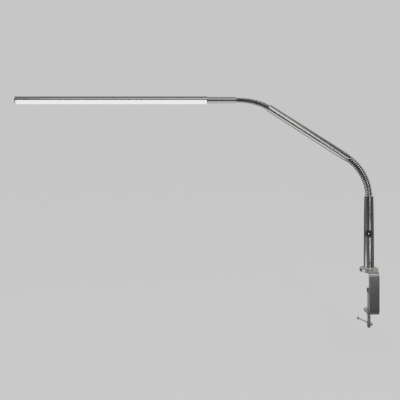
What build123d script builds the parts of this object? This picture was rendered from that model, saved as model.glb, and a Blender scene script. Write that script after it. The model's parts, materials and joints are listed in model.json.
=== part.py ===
from build123d import *
from math import cos, radians, sin, sqrt
import os

# Clamp-on slim LED lamp, in millimetres. The arm lies in the XZ plane. The origin is the middle of
# the clamp's upper pad, on the table top. The post rises along +Z, the arm and the head reach
# towards -X, and the clamp's throat opens towards +Y.

# Fits
running = 0.05  # radial clearance of a shaft that turns or slides
seat = 0.1  # play of a piece that is seated in another
gap = 0.4  # space between bodies that pass each other
edge = 0.6  # small broken edge

# Clamp
strip_width = 28.5
strip_thickness = 5.0
bend_radius = 14.0
spine_front = -45.0
strip_top = 10.0
bracket_bottom = -108.0
disc_radius = 25.0
disc_underside = 0.5
pad_radius = 21.0
pad_thickness = 1.5
bolt_radius = 4.0
bolt_head_radius = 7.5
bolt_top = 30.0
bolt_room = 1.0  # left beyond the bolt's end
spigot_radius = 8.0
spigot_top = 44.0
groove_low, groove_high, groove_depth = 22.0, 32.0, 0.8
washer_thickness = 1.0

# Clamp screw and tommy bar
screw_radius = 5.0
screw_end = -155.4
screw_end_chamfer = 2.5
cap_top = -45.5
cap_radius = 6.0
cap_length = 9.8
cap_bore_radius = 3.55
cap_bore_depth = 7.0
bar_height = -142.0
bar_radius = 2.25
bar_heading = 115.0  # degrees from +X towards +Y, to the far ball
ball_radius = 4.2
near_ball_reach = 9.6
far_ball_reach = 41.4

# Post
collar_radius = 14.2
collar_bottom = 11.3
collar_top = 49.0
collar_bore_top = 46.0
neck_height = 9.0
neck_radius = 12.2
neck_bore_radius = 6.0
set_screw_height = 27.0
set_screw_radius = 3.0
slot_width, slot_depth = 1.0, 1.2
post_bottom_radius = 14.0
post_shoulder_radius = 13.7
post_shoulder_height = 125.0
post_top_radius = 12.3
post_bore_radius = 11.6
post_mouth_radius = 10.8
post_mouth_depth = 16.0
post_step = 2.0  # height of the slope between two bores

# Push button, whose axis is level and turned towards the arm
button_height = 106.5
button_heading = 20.0  # degrees from -Y towards -X
bezel_radius = 10.7
bezel_back = 7.0
bezel_proud = 0.5
button_radius = 7.55
button_back, button_front = 9.5, 13.4
plunger_radius = 1.55
plunger_end = 4.5
lens_radius = 1.2
lens_depth = 1.5

# Driver and power inlet
board_thickness = 1.6
board_width, board_length = 19.0, 76.0
board_front = 0.3
board_middle = 118.0
switch_size, switch_height = 7.0, 5.3
switch_hole_depth = 2.9
holder_thickness = 3.0
coil_size, coil_place = (4.0, 6.0), 25.0  # radius and height, and place along the board
capacitor_size, capacitor_place = (3.0, 8.0), 13.0
chip_size, chip_place = (8.0, 5.0, 2.0), 34.0
jack_height = 70.0
jack_radius = 5.0
jack_hole_radius = 2.8
jack_pin_radius = 1.0
jack_back, jack_floor = 3.0, 5.0

# Lower gooseneck, from the post's top to the middle tube
lower_pivot = 209.0
lower_coils = 11
lower_length = 11.0  # of one joint of two coils
lower_radius = 10.15
lower_gap = 1.8
lower_ball = 6.2
lower_bore = 3.0
middle_lean = 57.5  # degrees from upright

# Middle tube
middle_length = 262.0
middle_foot_radius = 11.4
middle_top_radius = 10.4
middle_wall = 1.5
swell_height = 30.0  # where the foot reaches its full radius
plug_length = 15.0
lead_radius = 2.0
lead_margin = 1.0

# Upper gooseneck, from the middle tube to the neck
upper_coils = 9
upper_length = 10.2
upper_foot_radius = 8.8
upper_top_radius = 7.7
upper_gap = 1.6
upper_ball = 4.6
upper_bore = 2.2
head_lean = 90.0

# Neck and head
neck_length = 80.0
neck_foot_radius = 8.8
neck_top_radius = 9.2
neck_inner_radius = 7.4
neck_chamfer = 1.0
ferrule_length = 14.0
spindle_radius = 4.0
spindle_reach = 14.0
spindle_bore = 1.5
clip_thickness = 1.2
clip_groove_radius = 3.2
clip_radius = 6.2
head_length = 530.0
head_radius = 11.0
shell_wall = 1.8
flange_thickness = 2.0
hub_length = 10.0
split_height = -1.6  # of the joint between shell and diffuser, from the head's axis
diffuser_wall = 1.8
diffuser_play = 0.15
lip_thickness = 1.2
lip_low, lip_high = -4.0, -0.3
web_low, web_high = 2.1, 3.9
web_inset = 18.0
led_board_width = 16.0
led_board_inset = 20.0
led_pitch = 12.0
led_length, led_width, led_thickness = 5.0, 3.0, 0.8
end_cap_thickness = 4.0
end_plug_length = 8.0
end_cap_cut = 4.0

cup_clearance = 0.35
coil_depth = 1.8  # how far a coil stands out of its core


def save(piece, name):
    """Labels a finished piece and writes it to its own file."""
    piece.part.label = name
    export_step(piece.part, f"parts/{name}.step")


def heading(lean):
    """The direction in the arm's plane that leans from upright towards -X."""
    return Vector(-sin(radians(lean)), 0, cos(radians(lean)))


def arm_plane(pivot, lean):
    """The arm's plane with its Y along the arm and its X across it."""
    across = Vector(cos(radians(lean)), 0, sin(radians(lean)))
    return Plane(origin=pivot, x_dir=across, z_dir=(0, -1, 0))


def half_section(plane, outline):
    """The face that an outline bounds: its X is the radius, its Y runs along the plane's Y."""
    with BuildSketch(plane) as section:
        with BuildLine():
            outline()
        make_face()
    return section.sketch


def turned(plane, outline):
    """A solid of revolution about the plane's Y."""
    with BuildPart() as piece:
        revolve(half_section(plane, outline), axis=Axis(plane.origin, plane.y_dir))
    return piece


def on_sphere(radius, across):
    """The height on a sphere at a distance from its axis."""
    return sqrt(radius**2 - across**2)


def ball_line(ball, bore, height, end):
    """The outline of a bored ball at a height, from the end face below it to its bore."""
    neck = on_sphere(ball, height - end)
    mouth = height + on_sphere(ball, bore)
    ThreePointArc((neck, end), (ball, height), (bore, mouth))
    return mouth


def cup_line(cup, bore, end):
    """The outline of a cup round the pivot, from its bore to the end face."""
    floor = on_sphere(cup, bore)
    rim = on_sphere(cup, end)
    middle = (bore + rim) / 2
    ThreePointArc((bore, floor), (middle, on_sphere(cup, middle)), (rim, end))
    return floor, rim


# ---------------------------------------------------------------- clamp

jaw_end = strip_width / 2

with BuildPart() as clamp_bracket:
    with BuildSketch(Plane.YZ) as strip:
        with BuildLine():
            Polyline(
                (jaw_end, strip_top),
                (spine_front, strip_top),
                (spine_front, bracket_bottom),
                (jaw_end, bracket_bottom),
                (jaw_end, bracket_bottom + strip_thickness),
                (spine_front + strip_thickness, bracket_bottom + strip_thickness),
                (spine_front + strip_thickness, strip_top - strip_thickness),
                (jaw_end, strip_top - strip_thickness),
                close=True,
            )
        make_face()
        fillet(strip.vertices().group_by(Axis.X)[0], bend_radius)
        fillet(strip.vertices().group_by(Axis.X)[1], bend_radius - strip_thickness)
    extrude(amount=strip_width / 2, both=True)
    with BuildSketch(Plane.XY.offset(bracket_bottom)):
        Circle(strip_width / 2)
        with Locations((0, spine_front / 2)):
            Rectangle(strip_width, -spine_front)
    extrude(amount=strip_top - bracket_bottom, mode=Mode.INTERSECT)
    corners = clamp_bracket.edges().filter_by(Axis.X, reverse=True)
    fillet(corners.filter_by(lambda e: e.length > strip_thickness * 1.01), edge)
    with Locations((0, 0, strip_top)):
        Hole(bolt_radius + 3 * seat, depth=strip_thickness)
    with Locations((0, 0, bracket_bottom + strip_thickness)):
        Hole(screw_radius + running, depth=strip_thickness)
save(clamp_bracket, "clamp_bracket")

with BuildPart() as clamp_disc:
    with BuildSketch(Plane.XY.offset(disc_underside)):
        Circle(disc_radius)
    extrude(amount=strip_top - disc_underside)
    chamfer(clamp_disc.edges().filter_by(GeomType.CIRCLE), edge)
    with BuildSketch(Plane.XY.offset(strip_top)):
        Circle(strip_width / 2 + seat)
        with Locations((0, -disc_radius)):
            Rectangle(strip_width + 2 * seat, 2 * disc_radius)
    extrude(amount=-strip_thickness, mode=Mode.SUBTRACT)
    with BuildSketch(Plane.XY.offset(disc_underside)):
        Circle(pad_radius + seat)
    extrude(amount=pad_thickness - disc_underside, mode=Mode.SUBTRACT)
    with Locations((0, 0, pad_thickness)):
        Cone(
            bolt_head_radius + 4 * seat,
            bolt_radius + 2 * seat,
            bolt_head_radius - bolt_radius,
            align=(Align.CENTER, Align.CENTER, Align.MIN),
            mode=Mode.SUBTRACT,
        )
save(clamp_disc, "clamp_disc")

with BuildPart() as disc_pad:
    with BuildSketch():
        Circle(pad_radius)
    extrude(amount=pad_thickness)
save(disc_pad, "disc_pad")

bolt_bottom = pad_thickness + 2 * seat
bolt_neck = bolt_bottom + bolt_head_radius - bolt_radius


def bolt_outline():
    Polyline(
        (0, bolt_bottom),
        (bolt_head_radius, bolt_bottom),
        (bolt_radius, bolt_neck),
        (bolt_radius, bolt_top),
        (0, bolt_top),
        close=True,
    )


save(turned(Plane.XZ, bolt_outline), "spigot_bolt")

with BuildPart() as post_spigot:
    with BuildSketch(Plane.XY.offset(strip_top)):
        Circle(spigot_radius)
    extrude(amount=spigot_top - strip_top)
    chamfer(post_spigot.edges().group_by(Axis.Z)[-1], edge)
    with BuildSketch(Plane.XY.offset(groove_low)):
        Circle(spigot_radius + seat)
        Circle(spigot_radius - groove_depth, mode=Mode.SUBTRACT)
    extrude(amount=groove_high - groove_low, mode=Mode.SUBTRACT)
    with Locations((0, 0, strip_top)):
        Cylinder(
            bolt_radius + running,
            bolt_top - strip_top + bolt_room,
            align=(Align.CENTER, Align.CENTER, Align.MIN),
            mode=Mode.SUBTRACT,
        )
save(post_spigot, "post_spigot")

with BuildPart() as swivel_washer:
    with BuildSketch(Plane.XY.offset(strip_top)):
        Circle(collar_radius - 2 * edge)
        Circle(spigot_radius + seat, mode=Mode.SUBTRACT)
    extrude(amount=washer_thickness)
save(swivel_washer, "swivel_washer")

# ---------------------------------------------------------------- clamp screw

cap_bottom = cap_top - cap_length

with BuildPart() as pressure_cap:
    with BuildSketch(Plane.XY.offset(cap_bottom)):
        Circle(cap_radius)
    extrude(amount=cap_length)
    fillet(pressure_cap.edges().group_by(Axis.Z)[-1], edge)
    with BuildSketch(Plane.XY.offset(cap_bottom)):
        Circle(cap_bore_radius)
    extrude(amount=cap_bore_depth, mode=Mode.SUBTRACT)
save(pressure_cap, "pressure_cap")

bar_way = Vector(cos(radians(bar_heading)), sin(radians(bar_heading)), 0)
bar_plane = Plane(origin=(0, 0, bar_height), x_dir=(0, 0, 1), z_dir=bar_way)

with BuildPart() as clamp_screw:
    shank_top = cap_bottom - gap
    with BuildSketch(Plane.XY.offset(screw_end)):
        Circle(screw_radius)
    extrude(amount=shank_top - screw_end)
    chamfer(clamp_screw.edges().group_by(Axis.Z)[0], screw_end_chamfer)
    with BuildSketch(Plane.XY.offset(shank_top)):
        Circle(cap_bore_radius - running)
    extrude(amount=cap_bore_depth)
    with BuildSketch(bar_plane):
        Circle(bar_radius + running)
    extrude(amount=2 * screw_radius, both=True, mode=Mode.SUBTRACT)
save(clamp_screw, "clamp_screw")

with BuildPart() as tommy_bar:
    with BuildSketch(bar_plane.offset(-near_ball_reach)):
        Circle(bar_radius)
    extrude(amount=near_ball_reach + far_ball_reach)
save(tommy_bar, "tommy_bar")

for ball_name, reach in (("tommy_ball_near", -near_ball_reach), ("tommy_ball_far", far_ball_reach)):
    with BuildPart() as tommy_ball:
        with Locations(bar_plane.offset(reach).location):
            Sphere(ball_radius)
        with BuildSketch(bar_plane):
            Circle(bar_radius + running / 2)
        extrude(amount=reach, mode=Mode.SUBTRACT)
    save(tommy_ball, ball_name)

# ---------------------------------------------------------------- post

post_foot = collar_top + gap
post_top = lower_pivot - lower_gap / 2
button_way = Vector(-sin(radians(button_heading)), -cos(radians(button_heading)), 0)
button_side = Vector(cos(radians(button_heading)), -sin(radians(button_heading)), 0)


def button_plane(distance, height=button_height):
    """A plane square to the button's axis, at a distance from the post's axis."""
    origin = button_way * distance + Vector(0, 0, height)
    return Plane(origin=origin, x_dir=button_side, z_dir=button_way)


def collar_outline():
    Polyline(
        (spigot_radius + running, collar_bottom),
        (collar_radius - edge, collar_bottom),
        (collar_radius, collar_bottom + edge),
        (collar_radius, collar_top - edge),
        (collar_radius - edge, collar_top),
        (neck_radius, collar_top),
        (neck_radius, collar_top + neck_height),
        (neck_bore_radius, collar_top + neck_height),
        (neck_bore_radius, collar_bore_top),
        (spigot_radius + running, collar_bore_top),
        close=True,
    )


with BuildPart() as post_collar:
    revolve(half_section(Plane.XZ, collar_outline), axis=Axis.Z)
    with BuildSketch(Plane.XZ.offset(spigot_radius - groove_depth)):
        with Locations((0, set_screw_height)):
            Circle(set_screw_radius + running)
    extrude(amount=collar_radius, mode=Mode.SUBTRACT)
save(post_collar, "post_collar")

with BuildPart() as collar_set_screw:
    set_screw_tip = spigot_radius - groove_depth + 3 * seat
    set_screw_face = collar_radius - 2 * edge
    with BuildSketch(Plane.XZ.offset(set_screw_tip)):
        with Locations((0, set_screw_height)):
            Circle(set_screw_radius)
    extrude(amount=set_screw_face - set_screw_tip)
    with BuildSketch(Plane.XZ.offset(set_screw_face)):
        with Locations(Location((0, set_screw_height, 0), (0, 0, 45))):
            Rectangle(3 * set_screw_radius, slot_width)
    extrude(amount=-slot_depth, mode=Mode.SUBTRACT)
save(collar_set_screw, "collar_set_screw")


def post_outline():
    inner = Polyline(
        (post_mouth_radius, post_top),
        (post_mouth_radius, post_top - post_mouth_depth),
        (post_bore_radius, post_top - post_mouth_depth - post_step),
        (post_bore_radius, collar_top + neck_height + gap + post_step),
        (neck_radius + seat, collar_top + neck_height + gap),
        (neck_radius + seat, post_foot),
        (post_bottom_radius - edge, post_foot),
        (post_bottom_radius, post_foot + edge),
        (post_shoulder_radius, post_shoulder_height),
    )
    taper = TangentArc(
        (post_shoulder_radius, post_shoulder_height),
        (post_top_radius, post_top - edge),
        tangent=inner % 1,
    )
    Polyline(taper @ 1, (post_top_radius - edge, post_top), inner @ 0)


with BuildPart() as post_tube:
    revolve(half_section(Plane.XZ, post_outline), axis=Axis.Z)
    with BuildSketch(button_plane(bezel_back - edge)):
        Circle(bezel_radius + seat)
    extrude(amount=2 * bezel_back, mode=Mode.SUBTRACT)
    with BuildSketch(Plane.XZ.offset(-jack_floor)):
        with Locations((0, jack_height)):
            Circle(jack_radius + seat)
    extrude(amount=-collar_radius, mode=Mode.SUBTRACT)
save(post_tube, "post_tube")

ferrule_foot = post_top - post_mouth_depth + edge


def post_ferrule_outline():
    mouth = ball_line(lower_ball, lower_bore, lower_pivot, post_top)
    Polyline(
        (lower_bore, mouth),
        (lower_bore, ferrule_foot),
        (post_mouth_radius - running, ferrule_foot),
        (post_mouth_radius - running, post_top),
        (on_sphere(lower_ball, lower_pivot - post_top), post_top),
    )


save(turned(Plane.XZ, post_ferrule_outline), "post_ferrule")

# ---------------------------------------------------------------- push button and driver

with BuildPart() as button_bezel:
    with BuildSketch(button_plane(bezel_back)):
        Circle(bezel_radius)
        Circle(button_radius + running, mode=Mode.SUBTRACT)
    extrude(amount=2 * bezel_back)
    with Locations((0, 0, button_height)):
        Cylinder(post_shoulder_radius + bezel_proud, 3 * bezel_radius, mode=Mode.INTERSECT)
save(button_bezel, "button_bezel")

with BuildPart() as button_cap:
    with BuildSketch(button_plane(button_back)):
        Circle(button_radius)
    extrude(amount=button_front - button_back)
    fillet(button_cap.edges().filter_by(GeomType.CIRCLE).sort_by(lambda e: e.center().Y)[0], edge)
    with BuildSketch(button_plane(plunger_end)):
        Circle(plunger_radius)
    extrude(amount=button_back - plunger_end)
    with BuildSketch(button_plane(button_front)):
        Circle(lens_radius + running)
    extrude(amount=-lens_depth, mode=Mode.SUBTRACT)
save(button_cap, "button_cap")

with BuildPart() as indicator_lens:
    with BuildSketch(button_plane(button_front - lens_depth)):
        Circle(lens_radius)
    extrude(amount=lens_depth)
save(indicator_lens, "indicator_lens")

switch_back = board_front + seat
switch_front = switch_back + switch_height

with BuildPart() as switch_body:
    with BuildSketch(button_plane(switch_back)):
        Rectangle(switch_size, switch_size)
    extrude(amount=switch_height)
    with BuildSketch(button_plane(switch_front)):
        Circle(plunger_radius + running)
    extrude(amount=-switch_hole_depth, mode=Mode.SUBTRACT)
save(switch_body, "switch_body")

with BuildPart() as driver_board:
    with BuildSketch(button_plane(board_front, board_middle)):
        Rectangle(board_width, board_length)
    extrude(amount=-board_thickness)
save(driver_board, "driver_board")

with BuildPart() as driver_parts:
    for (radius, height), place in ((coil_size, coil_place), (capacitor_size, capacitor_place)):
        with BuildSketch(button_plane(switch_back, board_middle)):
            with Locations((0, place)):
                Circle(radius)
        extrude(amount=height)
    with BuildSketch(button_plane(switch_back, board_middle)):
        with Locations((0, chip_place)):
            Rectangle(chip_size[0], chip_size[1])
    extrude(amount=chip_size[2])
save(driver_parts, "driver_parts")

with BuildPart() as board_holder:
    with BuildSketch(button_plane(board_front - board_thickness - seat, board_middle)):
        Rectangle(board_width, board_length)
        Rectangle(board_width / 2, board_length - board_width, mode=Mode.SUBTRACT)
    extrude(amount=-holder_thickness)
save(board_holder, "board_holder")

with BuildPart() as power_jack:
    with BuildSketch(Plane.XZ.offset(-jack_back)):
        with Locations((0, jack_height)):
            Circle(jack_radius)
    extrude(amount=-(post_bottom_radius + edge - jack_back))
    with BuildSketch(Plane.XZ.offset(-jack_floor)):
        with Locations((0, jack_height)):
            Circle(jack_hole_radius)
            Circle(jack_pin_radius, mode=Mode.SUBTRACT)
    extrude(amount=-collar_radius, mode=Mode.SUBTRACT)
save(power_jack, "power_jack")

# ---------------------------------------------------------------- goosenecks


def coil_joint(plane, length, radius, space, ball, bore):
    """One joint of a gooseneck: two coils round a core, with a cup at its foot and a ball on top."""
    core = radius - coil_depth
    pitch = length / 2
    width = pitch - space
    half = space / 2
    top = length - half

    def outline():
        floor, rim = cup_line(ball + cup_clearance, bore, half)
        Line((rim, half), (core, half))
        for foot in (half, half + pitch):
            ThreePointArc((core, foot), (radius, foot + width / 2), (core, foot + width))
        Line((core, half + width), (core, half + pitch))
        mouth = ball_line(ball, bore, length, top)
        Line((core, top), (on_sphere(ball, half), top))
        Line((bore, mouth), (bore, floor))

    return turned(plane, outline)


pivot = Vector(0, 0, lower_pivot)
for number in range(1, lower_coils + 1):
    lean = middle_lean * number / (lower_coils + 1)
    joint = coil_joint(
        arm_plane(pivot, lean), lower_length, lower_radius, lower_gap, lower_ball, lower_bore
    )
    save(joint, f"lower_coil_{number:02d}")
    print(f"lower_coil_{number:02d} pivot {pivot.X:.3f} {pivot.Z:.3f} lean {lean:.3f}")
    pivot = pivot + heading(lean) * lower_length

middle_foot = pivot
print(f"middle pivot {pivot.X:.3f} {pivot.Z:.3f} lean {middle_lean:.3f}")
middle_plane = arm_plane(middle_foot, middle_lean)

tube_foot = lower_gap / 2
tube_top = middle_length - upper_gap / 2


def middle_outline():
    foot_radius = middle_foot_radius - edge
    Polyline(
        (foot_radius - edge, tube_foot),
        (foot_radius, tube_foot + edge),
        (middle_foot_radius, swell_height),
        (middle_top_radius, tube_top - edge),
        (middle_top_radius - edge, tube_top),
        (middle_top_radius - middle_wall, tube_top),
        (middle_foot_radius - edge - middle_wall, tube_foot),
        close=True,
    )


save(turned(middle_plane, middle_outline), "middle_tube")


def middle_bore(height):
    """The middle tube's inner radius at a height."""
    foot = middle_foot_radius - edge - middle_wall
    top = middle_top_radius - middle_wall
    return foot + (top - foot) * (height - tube_foot) / (tube_top - tube_foot)


def middle_foot_plug_outline():
    floor, rim = cup_line(lower_ball + cup_clearance, lower_bore, tube_foot)
    Polyline(
        (rim, tube_foot),
        (middle_bore(tube_foot) - seat, tube_foot),
        (middle_bore(plug_length) - seat, plug_length),
        (lower_bore, plug_length),
        (lower_bore, floor),
    )


save(turned(middle_plane, middle_foot_plug_outline), "middle_foot_plug")


def middle_top_plug_outline():
    foot = middle_length - plug_length
    mouth = ball_line(upper_ball, upper_bore, middle_length, tube_top)
    Polyline(
        (upper_bore, mouth),
        (upper_bore, foot),
        (middle_bore(foot) - seat, foot),
        (middle_bore(tube_top) - seat, tube_top),
        (on_sphere(upper_ball, upper_gap / 2), tube_top),
    )


save(turned(middle_plane, middle_top_plug_outline), "middle_top_plug")


def lead_outline():
    Polyline(
        (0, plug_length + lead_margin),
        (lead_radius, plug_length + lead_margin),
        (lead_radius, middle_length - plug_length - lead_margin),
        (0, middle_length - plug_length - lead_margin),
        close=True,
    )


save(turned(middle_plane, lead_outline), "middle_lead")

pivot = middle_foot + heading(middle_lean) * middle_length
for number in range(1, upper_coils + 1):
    left = 1 - number / (upper_coils + 1)  # the bend tightens towards the middle tube
    lean = head_lean - (head_lean - middle_lean) * (left + left**2) / 2
    radius = upper_top_radius + (upper_foot_radius - upper_top_radius) * left
    joint = coil_joint(
        arm_plane(pivot, lean), upper_length, radius, upper_gap, upper_ball, upper_bore
    )
    save(joint, f"upper_coil_{number:02d}")
    print(f"upper_coil_{number:02d} pivot {pivot.X:.3f} {pivot.Z:.3f} lean {lean:.3f}")
    pivot = pivot + heading(lean) * upper_length

# ---------------------------------------------------------------- neck

neck_pivot = pivot
print(f"neck pivot {pivot.X:.3f} {pivot.Z:.3f} lean {head_lean:.3f}")
neck_plane = arm_plane(neck_pivot, head_lean)
neck_foot = upper_gap / 2


def neck_tube_outline():
    Polyline(
        (neck_inner_radius, neck_foot),
        (neck_foot_radius - neck_chamfer, neck_foot),
        (neck_foot_radius, neck_foot + neck_chamfer),
        (neck_top_radius, neck_length),
        (neck_inner_radius, neck_length),
        close=True,
    )


save(turned(neck_plane, neck_tube_outline), "neck_tube")


def neck_ferrule_outline():
    floor, rim = cup_line(upper_ball + cup_clearance, upper_bore, neck_foot)
    Polyline(
        (rim, neck_foot),
        (neck_inner_radius - running, neck_foot),
        (neck_inner_radius - running, ferrule_length),
        (upper_bore, ferrule_length),
        (upper_bore, floor),
    )


save(turned(neck_plane, neck_ferrule_outline), "neck_ferrule")

head_start = neck_length + gap
hub_end = head_start + hub_length
clip_low = hub_end + gap
clip_high = clip_low + clip_thickness


def neck_spindle_outline():
    Polyline(
        (spindle_bore, neck_length - ferrule_length),
        (neck_inner_radius - running, neck_length - ferrule_length),
        (neck_inner_radius - running, neck_length),
        (spindle_radius, neck_length),
        (spindle_radius, clip_low - running),
        (clip_groove_radius, clip_low - running),
        (clip_groove_radius, clip_high + running),
        (spindle_radius, clip_high + running),
        (spindle_radius, neck_length + spindle_reach),
        (spindle_bore, neck_length + spindle_reach),
        close=True,
    )


save(turned(neck_plane, neck_spindle_outline), "neck_spindle")

with BuildPart() as roll_clip:
    clip_origin = neck_pivot + heading(head_lean) * clip_low
    with BuildSketch(Plane(origin=clip_origin, x_dir=(0, -1, 0), z_dir=heading(head_lean))):
        Circle(clip_radius)
        Circle(clip_groove_radius + running, mode=Mode.SUBTRACT)
        with Locations((0, -clip_radius)):
            Rectangle(clip_groove_radius, 2 * clip_radius, mode=Mode.SUBTRACT)
    extrude(amount=clip_thickness)
save(roll_clip, "roll_clip")

# ---------------------------------------------------------------- head

head_end = head_start + head_length
shell_start = head_start + flange_thickness
shell_end = head_end - end_cap_thickness
shell_bore = head_radius - shell_wall


def section_plane(distance):
    """The head's cross-section at a distance from the neck's pivot, with its Y upwards."""
    origin = neck_pivot + heading(head_lean) * distance
    return Plane(origin=origin, x_dir=(0, -1, 0), z_dir=heading(head_lean))


def cut_below(height):
    """Takes away all of a section below a height."""
    with Locations((0, height - head_radius)):
        Rectangle(3 * head_radius, 2 * head_radius, mode=Mode.SUBTRACT)


def cut_above(height):
    """Takes away all of a section above a height."""
    with Locations((0, height + head_radius)):
        Rectangle(3 * head_radius, 2 * head_radius, mode=Mode.SUBTRACT)


def hub_outline():
    Polyline(
        (spindle_radius + running, head_start),
        (head_radius - edge, head_start),
        (head_radius, head_start + edge),
        (head_radius, shell_start),
        (shell_bore - seat, shell_start),
        (shell_bore - seat, hub_end),
        (spindle_radius + running, hub_end),
        close=True,
    )


save(turned(neck_plane, hub_outline), "head_hub")

with BuildPart() as head_shell:
    with BuildSketch(section_plane(shell_start)):
        Circle(head_radius)
        Circle(shell_bore, mode=Mode.SUBTRACT)
        cut_below(split_height)
    extrude(amount=shell_end - shell_start)
    with BuildSketch(section_plane(shell_start + web_inset)):
        Circle(shell_bore + seat)
        cut_below(web_low)
        cut_above(web_high)
    extrude(amount=shell_end - shell_start - 2 * web_inset)
save(head_shell, "head_shell")

with BuildPart() as diffuser:
    with BuildSketch(section_plane(shell_start)):
        Circle(head_radius)
        Circle(head_radius - diffuser_wall, mode=Mode.SUBTRACT)
        cut_above(split_height - diffuser_play)
    extrude(amount=shell_end - shell_start)
    for outer, height in ((head_radius, split_height - diffuser_play), (shell_bore - seat, lip_high)):
        with BuildSketch(section_plane(shell_start + web_inset)):
            Circle(outer)
            Circle(shell_bore - seat - lip_thickness, mode=Mode.SUBTRACT)
            cut_below(lip_low)
            cut_above(height)
        extrude(amount=shell_end - shell_start - 2 * web_inset)
save(diffuser, "diffuser")

led_board_top = web_low - running
led_board_low = led_board_top - board_thickness
led_start = shell_start + led_board_inset
led_run = shell_end - shell_start - 2 * led_board_inset

with BuildPart() as led_board:
    with BuildSketch(section_plane(led_start)):
        with Locations((0, (led_board_top + led_board_low) / 2)):
            Rectangle(led_board_width, board_thickness)
    extrude(amount=led_run)
save(led_board, "led_board")

with BuildPart() as led_chips:
    for number in range(int(led_run / led_pitch)):
        with BuildSketch(section_plane(led_start + (number + 0.5) * led_pitch)):
            with Locations((0, led_board_low - led_thickness / 2)):
                Rectangle(led_width, led_thickness)
        extrude(amount=led_length)
save(led_chips, "led_chips")


def end_cap_outline():
    Polyline(
        (0, head_end),
        (head_radius - edge, head_end),
        (head_radius, head_end - edge),
        (head_radius, shell_end),
        (shell_bore - seat, shell_end),
        (shell_bore - seat, shell_end - end_plug_length),
        (0, shell_end - end_plug_length),
        close=True,
    )


with BuildPart() as end_cap:
    revolve(half_section(neck_plane, end_cap_outline), axis=Axis(neck_pivot, neck_plane.y_dir))
    cut_origin = neck_pivot + Vector(-head_end, 0, end_cap_cut - head_radius)
    split(bisect_by=Plane(origin=cut_origin, z_dir=(-1, 0, -1)), keep=Keep.BOTTOM)
save(end_cap, "end_cap")
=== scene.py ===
"""Looks of a clamp-on slim LED lamp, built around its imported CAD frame. Lengths are in metres."""

import json
import math

import bmesh
import bpy
from mathutils import Matrix, Vector


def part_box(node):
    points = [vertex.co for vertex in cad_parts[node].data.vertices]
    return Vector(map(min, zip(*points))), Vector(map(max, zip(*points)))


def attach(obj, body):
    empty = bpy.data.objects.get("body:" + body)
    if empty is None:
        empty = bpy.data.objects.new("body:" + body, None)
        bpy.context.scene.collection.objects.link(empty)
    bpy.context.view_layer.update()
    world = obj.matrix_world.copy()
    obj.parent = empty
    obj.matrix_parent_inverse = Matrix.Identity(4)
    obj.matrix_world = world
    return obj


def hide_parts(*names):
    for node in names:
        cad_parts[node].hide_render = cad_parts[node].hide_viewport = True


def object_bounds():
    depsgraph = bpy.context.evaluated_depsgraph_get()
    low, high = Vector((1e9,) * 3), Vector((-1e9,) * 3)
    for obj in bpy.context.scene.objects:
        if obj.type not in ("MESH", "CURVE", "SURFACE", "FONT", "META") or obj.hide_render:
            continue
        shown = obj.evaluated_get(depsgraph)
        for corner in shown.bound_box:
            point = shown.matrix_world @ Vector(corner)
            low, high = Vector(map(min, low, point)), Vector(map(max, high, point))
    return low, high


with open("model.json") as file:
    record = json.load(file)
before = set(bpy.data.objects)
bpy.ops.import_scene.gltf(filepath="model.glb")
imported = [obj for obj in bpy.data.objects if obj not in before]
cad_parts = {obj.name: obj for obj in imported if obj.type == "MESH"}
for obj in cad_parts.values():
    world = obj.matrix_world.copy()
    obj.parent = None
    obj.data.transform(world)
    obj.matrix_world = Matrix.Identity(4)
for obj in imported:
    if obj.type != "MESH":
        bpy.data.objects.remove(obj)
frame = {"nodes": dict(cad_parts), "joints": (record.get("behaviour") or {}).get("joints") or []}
cad_low, cad_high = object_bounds()
nodes = frame["nodes"]
joints = {joint["name"]: joint for joint in frame["joints"]}

MM = 0.001

# ---------------------------------------------------------------- camera

camera_place = Vector((-0.466, -1.380, 0.3635))
camera_lens = 45.0  # millimetres, as is the sensor's width
camera_sensor = 36.0
camera_shift = -0.1507  # the view stays level, and the horizon lies above the frame's middle


def make_camera():
    """A level camera that looks along +Y."""
    data = bpy.data.cameras.new("camera")
    data.lens = camera_lens
    data.sensor_width = camera_sensor
    data.shift_y = camera_shift
    camera = bpy.data.objects.new("camera", data)
    camera.location = camera_place
    camera.rotation_euler = (math.radians(90), 0, 0)
    bpy.context.scene.collection.objects.link(camera)
    bpy.context.scene.camera = camera


make_camera()

# ---------------------------------------------------------------- material tools

upright = Vector((0, 0, 1))
mix_first, mix_second = 6, 7  # a Mix node's inputs for its two colours
mix_colour = 2  # and its output for the colour that they make


def full_colour(value):
    """A colour with its opacity added; another node's output stays as it is."""
    return value if isinstance(value, bpy.types.NodeSocket) else (*value, 1)


def tinted(colour, share):
    """A colour, darker or lighter by a share."""
    return tuple(min(1.0, part * share) for part in colour)


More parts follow.
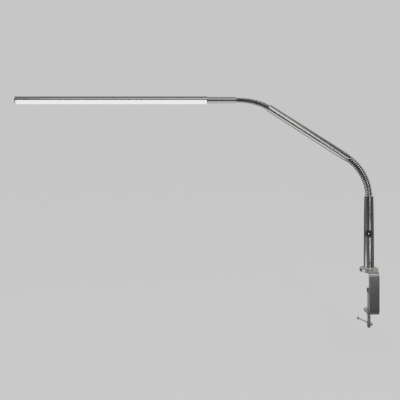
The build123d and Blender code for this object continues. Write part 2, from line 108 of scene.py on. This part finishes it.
class Finish:
    """Builds the node tree of one material round its Principled shader."""

    def __init__(self, name, **sockets):
        self.material = bpy.data.materials.new(name)
        self.material.use_nodes = True
        self.tree = self.material.node_tree
        self.shader = self.tree.nodes["Principled BSDF"]
        for socket, value in sockets.items():
            self.set(socket, value)

    def set(self, socket, value):
        """Sets an input of the shader, named in lower case with underscores."""
        name = socket.replace("_", " ").title().replace("Ior", "IOR")
        self.plug(self.shader.inputs[name], value)

    def plug(self, socket, value):
        """Links another node's output to an input, or gives the input a number or a colour."""
        if isinstance(value, bpy.types.NodeSocket):
            self.tree.links.new(value, socket)
        else:
            socket.default_value = value

    def node(self, kind, settings=(), **inputs):
        """A new node, with its settings, and its inputs as numbers or other nodes' outputs."""
        made = self.tree.nodes.new(kind)
        for name, value in dict(settings).items():
            setattr(made, name, value)
        for name, value in inputs.items():
            self.plug(made.inputs[name], value)
        return made

    def place(self, along=(0, 0, 1), stretch=1.0):
        """A place on the object, shrunk along one direction so that a texture is drawn out along it."""
        made = self.node(
            "ShaderNodeMapping",
            {"vector_type": "TEXTURE"},
            Vector=self.node("ShaderNodeTexCoord").outputs["Object"],
            Rotation=upright.rotation_difference(Vector(along)).to_euler(),
            Scale=(1, 1, stretch),
        )
        return made.outputs["Vector"]

    def noise(self, place, size, detail=3.0, rough=0.5):
        """Noise from about 0.3 to 0.7 whose grains are about a size across."""
        inputs = {"Vector": place, "Scale": 1 / size, "Detail": detail, "Roughness": rough}
        return self.node("ShaderNodeTexNoise", **inputs).outputs["Fac"]

    def between(self, share, low, high, start=0.3, end=0.7):
        """Numbers from low to high, as a share runs from start to end."""
        inputs = {"Value": share, "From Min": start, "From Max": end, "To Min": low, "To Max": high}
        return self.node("ShaderNodeMapRange", **inputs).outputs["Result"]

    def blend(self, share, first, second):
        """A colour from first to second."""
        made = self.node("ShaderNodeMix", {"data_type": "RGBA"}, Factor=share)
        self.plug(made.inputs[mix_first], full_colour(first))
        self.plug(made.inputs[mix_second], full_colour(second))
        return made.outputs[mix_colour]

    def bump(self, height, depth, normal=None):
        """A bump of a depth in metres, over another bump if one is given."""
        made = self.node("ShaderNodeBump", Height=height, Distance=depth, Strength=1.0)
        if normal is not None:
            self.plug(made.inputs["Normal"], normal)
        return made.outputs["Normal"]


# ---------------------------------------------------------------- materials


def drawn_metal(name, colour, rough, along, stretch=250.0):
    """Satin metal with fine lines along one direction, cloudy polish and faint handling marks."""
    line_width, line_depth = 0.3 * MM, 0.0015 * MM
    finish = Finish(name, metallic=1.0)
    lines = finish.noise(finish.place(along, stretch), line_width, detail=3.0, rough=0.6)
    clouds = finish.noise(finish.place(along, 4.0), 18 * MM, detail=2.0)
    marks = finish.noise(finish.place(along, 3.0), 5 * MM, detail=4.0, rough=0.6)
    bright_lines = finish.between(lines, 0.0, 1.0)
    streaked = finish.blend(bright_lines, tinted(colour, 0.93), tinted(colour, 1.05))
    worn = finish.between(marks, 0.0, 0.3, start=0.55, end=0.75)
    finish.set("base_color", finish.blend(worn, streaked, tinted(colour, 0.85)))
    lined = finish.between(lines, rough * 0.9, rough * 1.1, start=0.0, end=1.0)
    clouded = finish.between(clouds, rough * 0.9, rough * 1.15, start=0.0, end=1.0)
    halfway = finish.between(0.5, lined, clouded, start=0.0, end=1.0)
    finish.set("roughness", halfway)
    finish.set("normal", finish.bump(lines, line_depth))
    return finish.material


def polished_metal(name, colour, rough):
    """Bright plating with a faint ripple, fine pits and small dull spots."""
    finish = Finish(name, metallic=1.0)
    ripple = finish.noise(finish.place(), 6 * MM, detail=2.0)
    pits = finish.noise(finish.place(), 0.7 * MM, detail=4.0, rough=0.7)
    spots = finish.between(pits, 0.0, 1.0, start=0.55, end=0.75)
    finish.set("base_color", finish.blend(spots, colour, tinted(colour, 0.8)))
    finish.set("roughness", finish.between(pits, rough * 0.9, rough * 1.5, start=0.4, end=0.75))
    finish.set("normal", finish.bump(pits, 0.0015 * MM, finish.bump(ripple, 0.01 * MM)))
    return finish.material


def coil_metal(name, colour, rough):
    """Bright steel coils with painted shade: their colour darkens towards black, and their gloss dulls,
    where the mesh's groove attribute runs high.
    """
    finish = Finish(name, metallic=1.0)
    groove = finish.node("ShaderNodeAttribute", {"attribute_name": "groove"}).outputs["Fac"]
    grime = finish.noise(finish.place(), 2.5 * MM, detail=4.0, rough=0.6)
    fine = finish.noise(finish.place(), 0.5 * MM, detail=3.0)
    cleaned = finish.between(grime, 0.0, 1.0)
    crest = finish.blend(cleaned, tinted(colour, 0.9), tinted(colour, 1.05))
    # painted shade: the colour between the coils is darkened nearly to black, in place of the shade that
    # falls in the grooves
    groove_shade = finish.between(groove, 0.0, 0.95, start=0.3, end=0.9)
    finish.set("base_color", finish.blend(groove_shade, crest, tinted(colour, 0.12)))
    finish.set("roughness", finish.between(groove, rough, rough + 0.3, start=0.3, end=1.0))
    finish.set("normal", finish.bump(fine, 0.006 * MM))
    return finish.material


def turned_steel(name, colour, rough):
    """Machined steel with fine cutting marks."""
    finish = Finish(name, metallic=1.0)
    cuts = finish.noise(finish.place(), 0.4 * MM, detail=2.0)
    stains = finish.noise(finish.place(), 5 * MM, detail=4.0, rough=0.6)
    finish.set("base_color", finish.blend(stains, tinted(colour, 0.7), tinted(colour, 1.15)))
    finish.set("roughness", finish.between(stains, rough * 0.8, rough * 1.25))
    finish.set("normal", finish.bump(cuts, 0.01 * MM))
    return finish.material


def opal_plastic(name, colour, light, strength):
    """Frosted acrylic lit from inside, with the faintest cloudiness in its glow."""
    finish = Finish(name, roughness=0.45, ior=1.49, emission_strength=strength)
    clouds = finish.noise(finish.place((1, 0, 0), 6.0), 9 * MM, detail=2.0)
    frost = finish.noise(finish.place(), 0.25 * MM, detail=2.0)
    finish.set("base_color", finish.blend(clouds, tinted(colour, 0.96), colour))
    finish.set("emission_color", finish.blend(clouds, tinted(light, 0.93), light))
    finish.set("normal", finish.bump(frost, 0.004 * MM))
    return finish.material


def moulded(name, colour, rough, grain=0.4 * MM, depth=0.01 * MM, clear=0.0):
    """A moulded plastic or rubber: fine grain, uneven gloss and pale rubbed patches."""
    finish = Finish(name, specular_ior_level=0.5, coat_weight=clear)
    skin = finish.noise(finish.place(), grain, detail=3.0, rough=0.6)
    patches = finish.noise(finish.place(), 7 * MM, detail=4.0, rough=0.6)
    rubbed = finish.between(patches, 0.0, 1.0, start=0.45, end=0.75)
    pale = tuple(min(1.0, part * 1.15 + 0.012) for part in colour)
    finish.set("base_color", finish.blend(rubbed, colour, pale))
    finish.set("roughness", finish.between(patches, rough * 0.85, rough * 1.15))
    finish.set("normal", finish.bump(skin, depth))
    return finish.material


def circuit_board(name, mask, track):
    """Solder mask over a net of copper tracks."""
    cell_size = 4 * MM
    finish = Finish(name, roughness=0.35, specular_ior_level=0.5)
    net = {"feature": "DISTANCE_TO_EDGE"}
    cells = finish.node("ShaderNodeTexVoronoi", net, Vector=finish.place(), Scale=1 / cell_size)
    tracks = finish.between(cells.outputs["Distance"], 1.0, 0.0, start=0.06, end=0.1)
    weave = finish.noise(finish.place(), 0.6 * MM, detail=2.0)
    base = finish.blend(weave, tinted(mask, 0.85), tinted(mask, 1.1))
    finish.set("base_color", finish.blend(tracks, base, track))
    finish.set("normal", finish.bump(tracks, 0.03 * MM))
    return finish.material


def phosphor(name, colour, light):
    """The yellow face of an LED, glowing."""
    finish = Finish(name, roughness=0.4, emission_strength=4.0)
    grains = finish.noise(finish.place(), 0.2 * MM, detail=3.0)
    finish.set("base_color", finish.blend(grains, tinted(colour, 0.8), colour))
    finish.set("emission_color", finish.blend(grains, tinted(light, 0.95), light))
    return finish.material


# ---------------------------------------------------------------- places from the frame


def middle(node):
    """The middle of a CAD node's box."""
    low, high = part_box(node)
    return (low + high) / 2


def pivots(prefix):
    """The places of a gooseneck's pivots in order, from its foot."""
    names = [name for name in joints if name.startswith(prefix)]
    names.sort(key=lambda name: int(name.rsplit("_", 1)[1]))
    return [Vector(joints[name]["pos_m"]) for name in names]


lower_pivots = pivots("lower_")
upper_pivots = pivots("upper_")
middle_way = (upper_pivots[0] - lower_pivots[-1]).normalized()
head_way = Vector((-1, 0, 0))
button_way = -Vector(joints["button_press"]["axis"]).normalized()
bar_way = Vector(joints["bar_slide"]["axis"]).normalized()

# ---------------------------------------------------------------- mesh tools

lathe_segments = 72


def new_piece(name, mesh, body, material, replaced):
    """Puts a finished mesh in the scene, riding on a body, in place of some CAD nodes."""
    mesh.materials.append(material)
    piece = bpy.data.objects.new(name, mesh)
    bpy.context.scene.collection.objects.link(piece)
    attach(piece, body)
    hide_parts(*replaced)


def facing(way):
    """The turn that takes the Z axis to a direction."""
    return upright.rotation_difference(way).to_matrix().to_4x4()


def stacked(rings):
    """A grid of faces over rings of points, one above another, where a ring of one point is a pole."""
    grid = bmesh.new()
    made = [[grid.verts.new(point) for point in ring] for ring in rings]
    count = max(len(ring) for ring in rings)
    for low, high in zip(made, made[1:]):
        for step in range(count):
            lower = [low[at % len(low)] for at in (step, (step + 1) % count)]
            upper = [high[at % len(high)] for at in ((step + 1) % count, step)]
            grid.faces.new(list(dict.fromkeys(lower + upper)))
    return grid


def ring_of(radii, height):
    """Points round the Z axis at a height, at equal steps, each at its own radius."""
    turns = [math.tau * step / len(radii) for step in range(len(radii))]
    return [(radius * math.cos(a), radius * math.sin(a), height) for radius, a in zip(radii, turns)]


def finished_mesh(name, grid, sharp):
    """A mesh of a grid, shaded smooth but for rims sharper than an angle in degrees."""
    for face in grid.faces:
        face.smooth = True
    for rim in grid.edges:
        if rim.calc_face_angle(0) > math.radians(sharp):
            rim.smooth = False
    mesh = bpy.data.meshes.new(name)
    grid.to_mesh(mesh)
    grid.free()
    return mesh


def lathe(name, origin, way, outline, segments=lathe_segments):
    """A closed mesh turned about an axis, from an outline of (radius, height) points from pole to pole."""
    counts = [segments if radius > 0 else 1 for radius, _ in outline]
    grid = stacked([ring_of([radius] * count, height) for (radius, height), count in zip(outline, counts)])
    bmesh.ops.recalc_face_normals(grid, faces=grid.faces)
    bmesh.ops.transform(grid, matrix=Matrix.Translation(origin) @ facing(way), verts=grid.verts)
    return finished_mesh(name, grid, sharp=35)


def arc(centre, radius, start, end, steps):
    """Points of an outline on an arc, whose angles in degrees run from the radius direction."""
    angles = [math.radians(start + (end - start) * step / steps) for step in range(steps + 1)]
    return [(centre[0] + radius * math.cos(a), centre[1] + radius * math.sin(a)) for a in angles]


# ---------------------------------------------------------------- goosenecks

link_clearance = 0.8 * MM  # from a pivot to the coils on either side of it
coil_corner = 1.2 * MM
coil_crown = 0.25 * MM  # how far a coil swells in its middle
core_depth = 2.4 * MM  # of the grooves between a link's coils
cup_play = 0.3 * MM


def link_outline(radius, length, ball):
    """One link of a gooseneck, from its lower pivot: a cup, two flat-topped coils on a core, and a ball."""
    cup = ball + cup_play
    pitch = length / 2
    rise = math.degrees(math.asin(link_clearance / cup))
    outline = [(0, cup)] + arc((0, 0), cup, 90, rise, steps=8)[1:]
    side = radius - coil_crown - coil_corner
    for foot in (link_clearance, link_clearance + pitch):
        top = foot + pitch - 2 * link_clearance
        outline += [(radius - core_depth, foot)] if foot > link_clearance else []
        outline += arc((side, foot + coil_corner), coil_corner, -90, 0, steps=5)
        outline.append((radius, (foot + top) / 2))
        outline += arc((side, top - coil_corner), coil_corner, 0, 90, steps=5)
        outline.append((radius - core_depth, top))
    neck = math.degrees(math.asin(link_clearance / ball))
    outline += arc((0, length), ball, -neck, 90, steps=10)[:-1]
    return outline + [(0, length + ball)]


def gooseneck(name, coil_name, places, ball, material):
    """Puts a turned link in each CAD coil's place, on the coil's own body, with its groove depths."""
    for number, (foot, top) in enumerate(zip(places, places[1:]), 1):
        coil = f"{coil_name}_{number:02d}"
        low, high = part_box(coil)
        radius = (high.y - low.y) / 2
        outline = link_outline(radius, (top - foot).length, ball)
        mesh = lathe(f"{name}_{number:02d}", foot, (top - foot).normalized(), outline)
        # the groove depths also serve as the mask for the painted shade in the coil material
        depths = []
        for reach, _ in outline:
            depths += [min(1, (radius - reach) / core_depth)] * (lathe_segments if reach > 0 else 1)
        mesh.attributes.new("groove", "FLOAT", "POINT").data.foreach_set("value", depths)
        new_piece(mesh.name, mesh, coil, material, [coil])


# ---------------------------------------------------------------- build the materials

nickel_colour = (0.60, 0.585, 0.565)
bright_colour = (0.66, 0.65, 0.635)
coil_colour = (0.63, 0.61, 0.59)
head_colour = (0.66, 0.65, 0.64)

coil_steel = coil_metal("coil_steel_wound", coil_colour, 0.16)
plated = polished_metal("plated_steel_bright", bright_colour, 0.14)
rubber = moulded("rubber_black", (0.035, 0.034, 0.033), 0.75, grain=0.3 * MM, depth=0.03 * MM)
gloss_black = moulded("gloss_black", (0.012, 0.012, 0.013), 0.14, depth=0.002 * MM, clear=0.4)

slot_finishes = {
    "nickel": drawn_metal("nickel_upright", nickel_colour, 0.18, (0, 0, 1)),
    "plated_steel": plated,
    "coil_steel": coil_steel,
    "inner_steel": turned_steel("inner_steel_turned", (0.42, 0.42, 0.42), 0.35),
    "head_metal": drawn_metal("head_drawn", head_colour, 0.24, (1, 0, 0)),
    "opal": opal_plastic("opal_lit", (0.93, 0.94, 0.97), (0.96, 0.98, 1.0), 3.2),
    "rubber": rubber,
    "nylon": moulded("nylon_natural", (0.78, 0.76, 0.70), 0.5, depth=0.006 * MM),
    "black_gloss": gloss_black,
    "black_matte": moulded("black_satin", (0.02, 0.02, 0.021), 0.42, grain=0.25 * MM),
    "pale_lens": moulded("lens_pale", (0.82, 0.85, 0.9), 0.12, depth=0.002 * MM, clear=0.6),
    "board": circuit_board("board_green", (0.03, 0.16, 0.07), (0.1, 0.3, 0.13)),
    "board_parts": moulded("parts_black", (0.03, 0.03, 0.035), 0.5),
    "led_strip": circuit_board("board_white", (0.82, 0.82, 0.8), (0.7, 0.68, 0.6)),
    "led": phosphor("led_phosphor", (0.85, 0.7, 0.2), (1.0, 0.97, 0.9)),
    "lead": moulded("lead_jacket", (0.05, 0.05, 0.05), 0.5, grain=0.6 * MM),
}

node_finishes = {
    "middle_tube": drawn_metal("nickel_middle", nickel_colour, 0.18, middle_way),
    "neck_tube": drawn_metal("nickel_neck", bright_colour, 0.17, head_way),
    "clamp_bracket": drawn_metal("nickel_strip", nickel_colour, 0.24, (0, 0, 1), stretch=60.0),
    "clamp_disc": drawn_metal("nickel_disc", nickel_colour, 0.24, (1, 0, 0), stretch=6.0),
    "end_cap": drawn_metal("head_end", tinted(head_colour, 0.95), 0.3, (0, 1, 0), stretch=8.0),
}

for name, node in nodes.items():
    slot_name = node.material_slots[0].material.name
    node.material_slots[0].material = node_finishes.get(name, slot_finishes[slot_name])

# ---------------------------------------------------------------- pieces

lower_ball, upper_ball = 6.2 * MM, 4.6 * MM  # the radii of the links' balls

gooseneck("lower_link", "lower_coil", lower_pivots, lower_ball, coil_steel)
gooseneck("upper_link", "upper_coil", upper_pivots, upper_ball, coil_steel)

thread_pitch = 1.5 * MM
thread_depth = 0.75 * MM
thread_swell = 0.85  # over 0.5, the thread's crests and roots are flattened
thread_rows = 10  # rings of points to a turn of the thread
thread_segments = 48
journal_radius = 3.5 * MM  # of the screw's end inside the pressure cap
shoulder_gap = 0.4 * MM  # below the pressure cap
screw_bevel = 0.6 * MM
screw_chamfer = 2.5 * MM
boss_height = 8 * MM  # of plain shank above the tommy bar
bar_play = 0.05 * MM
bore_reach = 10 * MM  # of the tommy bar's bore, each way from the screw's axis
bore_segments = 64


def screw_mesh():
    """The clamp's screw: a journal, a rounded thread that runs out at both ends, and a plain foot."""
    low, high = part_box("clamp_screw")
    crest = (high.x - low.x) / 2
    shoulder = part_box("pressure_cap")[0].z - shoulder_gap
    thread_low = middle("tommy_bar").z + boss_height
    thread_high = shoulder - screw_bevel
    run_out = 1.5 * thread_pitch

    def radius(height, angle):
        wave = math.cos(math.tau * height / thread_pitch - angle)
        depth = thread_depth * min(max(0.5 - wave * thread_swell, 0), 1)
        fade = min(1, (height - thread_low) / run_out, (thread_high - height) / run_out)
        return crest - depth * max(0, fade)

    rows = round((thread_high - thread_low) / thread_pitch * thread_rows)
    heights = [thread_low + (thread_high - thread_low) * row / rows for row in range(rows + 1)]
    angles = [math.tau * step / thread_segments for step in range(thread_segments)]
    foot = [
        (crest - screw_chamfer, low.z),
        (crest, low.z + screw_chamfer),
        (crest, (low.z + thread_low) / 2),
    ]
    end = [
        (crest - screw_bevel, shoulder),
        (journal_radius, shoulder),
        (journal_radius, high.z),
    ]
    rings = [ring_of([reach] * thread_segments, height) for reach, height in foot]
    rings += [ring_of([radius(height, angle) for angle in angles], height) for height in heights]
    rings += [ring_of([reach] * thread_segments, height) for reach, height in end]
    grid = stacked(rings)
    grid.verts.ensure_lookup_table()
    grid.faces.new(grid.verts[:thread_segments][::-1])
    grid.faces.new(grid.verts[-thread_segments:])
    return finished_mesh("screw_threaded", grid, sharp=40)


def bored(mesh, origin, way, radius, reach):
    """A mesh with a round hole right through it."""
    outline = [(0, -reach), (radius, -reach), (radius, reach), (0, reach)]
    cutter_mesh = lathe("cutter", origin, way, outline, segments=bore_segments)
    cutter = bpy.data.objects.new("cutter", cutter_mesh)
    solid = bpy.data.objects.new("bored", mesh)
    for made in (cutter, solid):
        bpy.context.scene.collection.objects.link(made)
    cut = solid.modifiers.new("hole", "BOOLEAN")
    cut.object = cutter
    cut.solver = "EXACT"
    depsgraph = bpy.context.evaluated_depsgraph_get()
    result = bpy.data.meshes.new_from_object(solid.evaluated_get(depsgraph))
    for made in (cutter, solid):
        bpy.data.objects.remove(made)
    return result


bar_low, bar_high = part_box("tommy_bar")
bore_middle = Vector((0, 0, (bar_low.z + bar_high.z) / 2))
bore_radius = (bar_high.z - bar_low.z) / 2 + bar_play
screw = bored(screw_mesh(), bore_middle, bar_way, bore_radius, bore_reach)
new_piece("screw_threaded", screw, "screw", plated, ["clamp_screw"])


def pad_mesh():
    """The rubber pad under the disc, with moulded round grooves in its face."""
    low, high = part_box("disc_pad")
    radius = (high.x - low.x) / 2
    ring_count = 7
    ring_pitch = 2.4 * MM
    ring_depth = 0.35 * MM
    mouth, root = 0.45 * MM, 0.25 * MM  # half the width of a ring's groove, at the face and deep down
    rim = 0.3 * MM
    outline = [(0, low.z)]
    for ring in range(1, ring_count + 1):
        at = ring * ring_pitch
        outline += [
            (at - mouth, low.z),
            (at - root, low.z + ring_depth),
            (at + root, low.z + ring_depth),
            (at + mouth, low.z),
        ]
    outline += arc((radius - rim, low.z + rim), rim, -90, 0, steps=5)
    outline += [(radius, high.z), (0, high.z)]
    return lathe("pad_ringed", Vector(), upright, outline)


new_piece("pad_ringed", pad_mesh(), "clamp", rubber, ["disc_pad"])


def button_mesh():
    """The button: a shallow dish inside a soft rim, round a hole for its light."""
    lens_low, lens_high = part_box("indicator_lens")
    cap_low, cap_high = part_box("button_cap")
    radius = (cap_high.z - cap_low.z) / 2
    face = 0.75 * MM  # heights run from the middle of the light, which lies as deep below it
    back = -2.4 * MM
    stem_radius, stem_length = 1.55 * MM, 5 * MM
    rim = 0.9 * MM
    dish_depth, dish_round = 0.45 * MM, 1.2 * MM
    hole = (lens_high.z - lens_low.z) / 2 + 0.05 * MM
    collar, collar_foot = hole + 0.8 * MM, hole + 1.2 * MM
    collar_top = face - 0.05 * MM
    stem_end = back - stem_length
    outline = [(0, stem_end), (stem_radius, stem_end), (stem_radius, back), (radius, back)]
    outline += arc((radius - rim, face - rim), rim, 0, 90, steps=8)
    dish_middle = (radius - 2 * rim, face - dish_depth + dish_round)
    outline += arc(dish_middle, dish_round, 300, 270, steps=4)
    outline += [(collar_foot, face - dish_depth), (collar, collar_top), (hole, collar_top)]
    outline += [(hole, -face), (0, -face)]
    return lathe("button_dished", middle("indicator_lens"), button_way, outline)


new_piece("button_dished", button_mesh(), "button", gloss_black, ["button_cap"])

# ---------------------------------------------------------------- floor and light

floor_height = cad_low.z - 48 * MM  # below the screw's bar when the screw is wound right down
floor_size = 60.0
floor_colour = (0.72, 0.72, 0.72)
fill = (1.45, 1.46, 1.48)  # what lights everything evenly
backdrop = tuple(a * b for a, b in zip(floor_colour, fill))  # behind the floor, as its far edge looks
bright_side = (0.46, 0.45, 0.44)  # what the metal mirrors of the room behind the lamp
dark_side = (0.045, 0.043, 0.042)  # and of the room in front of it
dark_until, bright_from = -0.25, 0.2  # the Y of the directions between which one turns into the other
mirrored_floor = (0.15, 0.146, 0.142)  # what the metal mirrors of the floor
card_lift = 1 * MM  # above the floor
light_lift = 10 * MM


def plane_mesh(name, size, material):
    """A flat rectangle, facing up."""
    grid = bmesh.new()
    bmesh.ops.create_grid(grid, x_segments=1, y_segments=1, size=0.5)
    bmesh.ops.scale(grid, vec=(*size, 1), verts=grid.verts)
    mesh = bpy.data.meshes.new(name)
    grid.to_mesh(mesh)
    grid.free()
    mesh.materials.append(material)
    return mesh


def make_floor():
    """A pale matt floor, which mirrors see as a dim one."""
    finish = Finish("floor_pale", roughness=0.9, specular_ior_level=0.0)
    mottle = finish.noise(finish.place(), 0.5, detail=2.0)
    mottled = finish.blend(mottle, tinted(floor_colour, 0.99), tinted(floor_colour, 1.01))
    finish.set("base_color", mottled)
    path = finish.node("ShaderNodeLightPath")
    dim = finish.node("ShaderNodeEmission", Color=(*mirrored_floor, 1))
    seen = finish.node("ShaderNodeMixShader", Fac=path.outputs["Is Glossy Ray"])
    finish.plug(seen.inputs[1], finish.shader.outputs[0])
    finish.plug(seen.inputs[2], dim.outputs[0])
    finish.plug(finish.tree.nodes["Material Output"].inputs["Surface"], seen.outputs[0])
    mesh = plane_mesh("floor", (floor_size, floor_size), finish.material)
    floor = bpy.data.objects.new("floor", mesh)
    floor.location.z = floor_height
    bpy.context.scene.collection.objects.link(floor)


def make_card(name, centre, size):
    """A black card flat on the floor, which only mirrors see."""
    finish = Finish(name, roughness=0.9, specular_ior_level=0.0)
    grain = finish.noise(finish.place(), 0.1, detail=2.0)
    finish.set("base_color", finish.blend(grain, tinted(dark_side, 0.9), dark_side))
    card = bpy.data.objects.new(name, plane_mesh(name, size, finish.material))
    card.location = (*centre, floor_height + card_lift)
    card.visible_camera = card.visible_diffuse = card.visible_shadow = False
    bpy.context.scene.collection.objects.link(card)


def make_world():
    """An even pale light and backdrop, and in mirrors a room that is bright behind and dark in front."""
    world = bpy.data.worlds.new("studio")
    world.use_nodes = True
    tree = world.node_tree
    path = tree.nodes.new("ShaderNodeLightPath")
    way = tree.nodes.new("ShaderNodeSeparateXYZ")
    tree.links.new(tree.nodes.new("ShaderNodeTexCoord").outputs["Generated"], way.inputs[0])
    behind = tree.nodes.new("ShaderNodeMapRange")
    behind.inputs["From Min"].default_value = dark_until
    behind.inputs["From Max"].default_value = bright_from
    tree.links.new(way.outputs["Y"], behind.inputs["Value"])
    room = tree.nodes.new("ShaderNodeMix")
    room.data_type = "RGBA"
    tree.links.new(behind.outputs[0], room.inputs["Factor"])
    room.inputs[mix_first].default_value = (*dark_side, 1)
    room.inputs[mix_second].default_value = (*bright_side, 1)
    shown = tree.nodes["Background"]
    shown.inputs["Color"].default_value = (*fill, 1)
    last = shown.outputs[0]
    for ray in ("Is Glossy Ray", "Is Camera Ray"):
        other = tree.nodes.new("ShaderNodeBackground")
        if ray == "Is Camera Ray":
            other.inputs["Color"].default_value = (*backdrop, 1)
        else:
            tree.links.new(room.outputs[mix_colour], other.inputs["Color"])
        mix = tree.nodes.new("ShaderNodeMixShader")
        tree.links.new(path.outputs[ray], mix.inputs["Fac"])
        tree.links.new(last, mix.inputs[1])
        tree.links.new(other.outputs[0], mix.inputs[2])
        last = mix.outputs[0]
    tree.links.new(last, tree.nodes["World Output"].inputs["Surface"])
    bpy.context.scene.world = world


def make_light(name, place, target, size, brightness):
    """A soft rectangular studio light; its brightness is that of its face in a mirror."""
    data = bpy.data.lights.new(name, "AREA")
    data.shape = "RECTANGLE"
    data.size, data.size_y = size
    data.energy = brightness * math.pi * data.size * data.size_y
    light = bpy.data.objects.new(name, data)
    light.location = place
    light.rotation_euler = (Vector(target) - Vector(place)).to_track_quat("-Z", "Y").to_euler()
    light.visible_camera = False
    bpy.context.scene.collection.objects.link(light)


def make_floor_light(name, centre, size, brightness):
    """A light just above the floor that shines straight up."""
    height = floor_height + light_lift
    make_light(name, place=(*centre, height), target=(*centre, 1), size=size, brightness=brightness)


post_middle = Vector((0, 0, 0.15))
lamp_middle = Vector((-0.35, 0, 0.3))

make_floor()
make_card("card_before_clamp", centre=(0.35, -0.75), size=(0.7, 1.2))
make_card("card_before_camera", centre=(0, -16.6), size=(30, 30))
make_world()
make_light("front_above", place=(-0.15, -2.1, 2.2), target=lamp_middle, size=(3.4, 1.3), brightness=0.85)
make_light("strip", place=(0.28, -2.3, 1.1), target=post_middle, size=(0.36, 2.2), brightness=4.5)
make_floor_light("strip_low", centre=(0.20, -1.68), size=(0.2, 1.2), brightness=4.5)
make_floor_light("below", centre=(-0.66, -0.08), size=(0.9, 0.5), brightness=1.3)
make_light("right", place=(2.2, -0.3, 1.1), target=post_middle, size=(1.5, 1.8), brightness=0.45)
